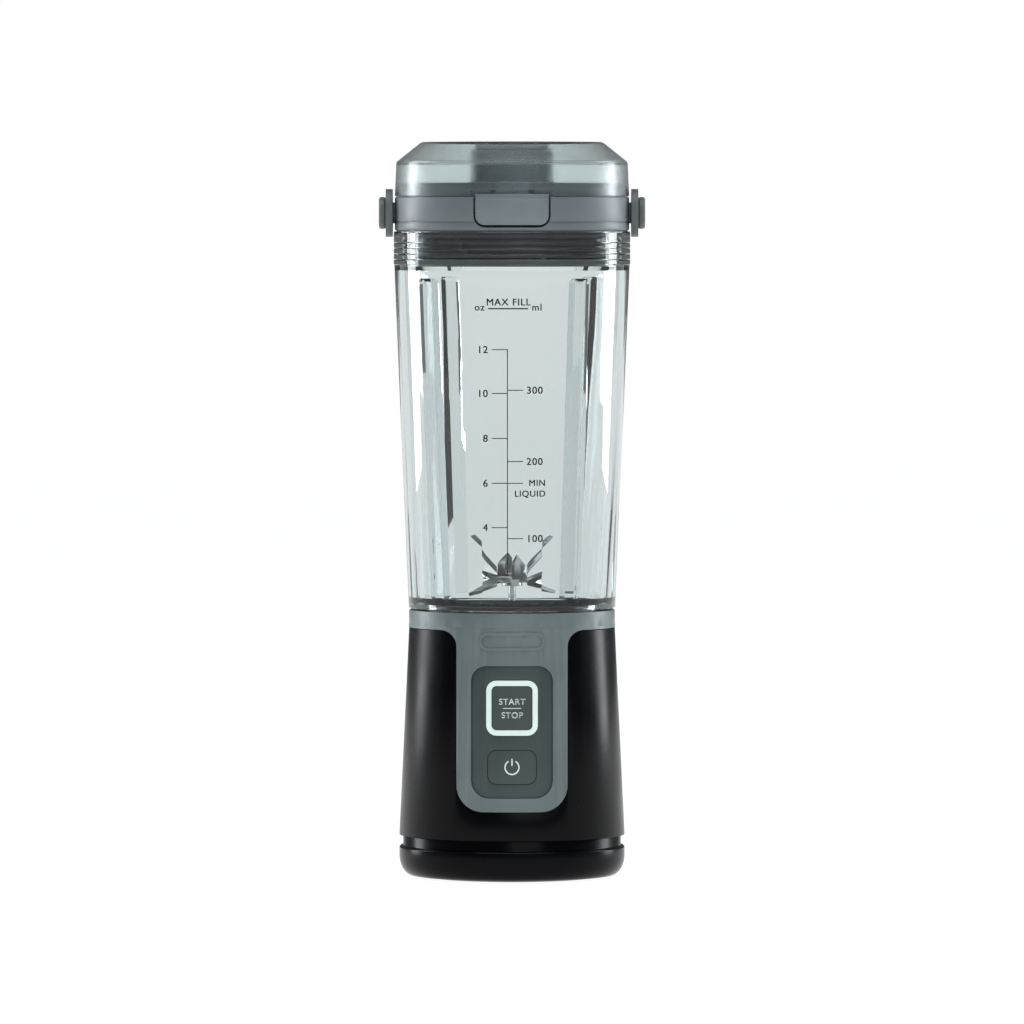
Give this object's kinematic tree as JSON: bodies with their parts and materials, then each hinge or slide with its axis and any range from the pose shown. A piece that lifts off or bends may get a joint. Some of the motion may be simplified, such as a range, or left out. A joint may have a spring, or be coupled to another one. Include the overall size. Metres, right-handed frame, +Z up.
{
  "type": "cordless personal blender",
  "caption": "Cordless personal blender: rechargeable base with push buttons, clear ribbed vessel, latching sip lid and swing-up carry handle.",
  "frame": {"origin": "centre of the foot pad's face, on the vertical axis, at the surface it stands on", "axes": "+Z up along the vessel's axis, -Y is the front with the buttons and the lid's latch, +X to the right"},
  "size_m": [0.1, 0.1083, 0.276],
  "materials": {
    "shell_black": "satin black moulded plastic",
    "cap_black": "satin black moulded plastic",
    "pad_rubber": "matt black rubber",
    "fascia_grey": "satin green-grey moulded plastic",
    "panel_dark": "fine matt dark green-grey plastic",
    "ring_white": "milky white light guide",
    "button_dark": "soft matt rubber",
    "flap_rubber": "soft black rubber",
    "chassis_nylon": "glass-filled nylon",
    "platform_grey": "polished grey plastic",
    "motor_steel": "drawn steel",
    "magnet": "sintered ferrite",
    "rotor_iron": "laminated steel",
    "bearing_steel": "ground steel",
    "blade_steel": "stamped and ground stainless steel",
    "seal_silicone": "black silicone",
    "cell_wrap": "blue heat-shrink sleeve",
    "nickel": "nickel strip",
    "board_green": "solder-masked board",
    "component": "moulded component",
    "led": "clear lens",
    "socket_steel": "plated steel",
    "screw_steel": "zinc-plated steel",
    "wire_red": "silicone wire sleeve",
    "vessel_clear": "clear copolyester with a faint grey-green tint",
    "lid_grey": "satin blue-grey plastic",
    "cover_smoke": "smoke-tinted clear plastic",
    "latch_grey": "satin grey plastic",
    "handle_grey": "satin dark grey plastic",
    "plug_silicone": "soft brown-grey silicone"
  },
  "bodies": {
    "base": {"foot_pad": "pad_rubber", "base_cap": "cap_black", "body_shell": "shell_black", "fascia": "fascia_grey", "control_panel": "panel_dark", "light_ring": "ring_white", "chassis": "chassis_nylon", "motor_can": "motor_steel", "motor_magnets": "magnet", "motor_end_cap": "chassis_nylon", "lower_bearing": "bearing_steel", "upper_bearing": "bearing_steel", "shaft_seal": "seal_silicone", "battery_cells": "cell_wrap", "battery_strips": "nickel", "control_board": "board_green", "tactile_switches": "component", "status_leds": "led", "charge_board": "board_green", "charge_socket": "socket_steel", "base_screws": "screw_steel", "platform_screws": "screw_steel", "motor_screws": "screw_steel", "motor_leads": "wire_red", "blade_platform": "platform_grey"},
    "drive_train": {"drive_shaft": "bearing_steel", "rotor": "rotor_iron", "blade_hub": "bearing_steel", "lower_blade": "blade_steel", "upper_blade": "blade_steel", "blade_nut": "blade_steel"},
    "start_button": {"start_button": "button_dark"},
    "power_button": {"power_button": "button_dark"},
    "port_flap": {"port_flap": "flap_rubber"},
    "vessel_seal": {"vessel_seal": "seal_silicone"},
    "vessel": {"vessel": "vessel_clear"},
    "lid_gasket": {"lid_gasket": "seal_silicone"},
    "lid": {"lid_base": "lid_grey", "cover_hinge_pin": "screw_steel", "latch_pin": "screw_steel", "latch_spring": "screw_steel"},
    "sip_cover": {"sip_cover": "cover_smoke", "spout_plug": "plug_silicone"},
    "latch": {"latch": "latch_grey"},
    "handle": {"carry_handle": "handle_grey", "handle_caps": "handle_grey"}
  },
  "joints": [
    {"name": "blade_spin", "type": "hinge", "parent": "base", "child": "drive_train", "pos_m": [0, 0, 0.06], "axis": [0, 0, 1], "continuous": true},
    {"name": "start_press", "type": "slide", "parent": "base", "child": "start_button", "axis": [0, 1, 0], "range_m": [0, 0.001], "stiffness_N_per_m": 900},
    {"name": "power_press", "type": "slide", "parent": "base", "child": "power_button", "axis": [0, 1, 0], "range_m": [0, 0.001], "stiffness_N_per_m": 900},
    {"name": "port_flap_swing", "type": "hinge", "parent": "base", "child": "port_flap", "pos_m": [0, 0.04155, 0.0342], "axis": [1, 0, 0], "range_deg": [0, 110]},
    {"name": "vessel_turn", "type": "hinge", "parent": "base", "child": "vessel_seal", "pos_m": [0, 0, 0.1], "axis": [0, 0, 1], "range_deg": [0, 90]},
    {"name": "vessel_lift", "type": "slide", "parent": "vessel_seal", "child": "vessel", "axis": [0, 0, 1], "range_m": [0, 0.06]},
    {"name": "lid_lift", "type": "slide", "parent": "vessel", "child": "lid_gasket", "axis": [0, 0, 1], "range_m": [0, 0.05]},
    {"name": "lid_turn", "type": "hinge", "parent": "lid_gasket", "child": "lid", "pos_m": [0, 0, 0.24], "axis": [0, 0, 1], "range_deg": [0, 120]},
    {"name": "cover_hinge", "type": "hinge", "parent": "lid", "child": "sip_cover", "pos_m": [0, 0.0422, 0.2575], "axis": [-1, 0, 0], "range_deg": [0, 100]},
    {"name": "latch_rock", "type": "hinge", "parent": "lid", "child": "latch", "pos_m": [0, -0.0393, 0.2502], "axis": [-1, 0, 0], "range_deg": [0, 8], "stiffness_Nm_per_rad": 0.08},
    {"name": "handle_swing", "type": "hinge", "parent": "lid", "child": "handle", "pos_m": [0, 0, 0.2494], "axis": [1, 0, 0], "range_deg": [0, 180]}
  ]
}
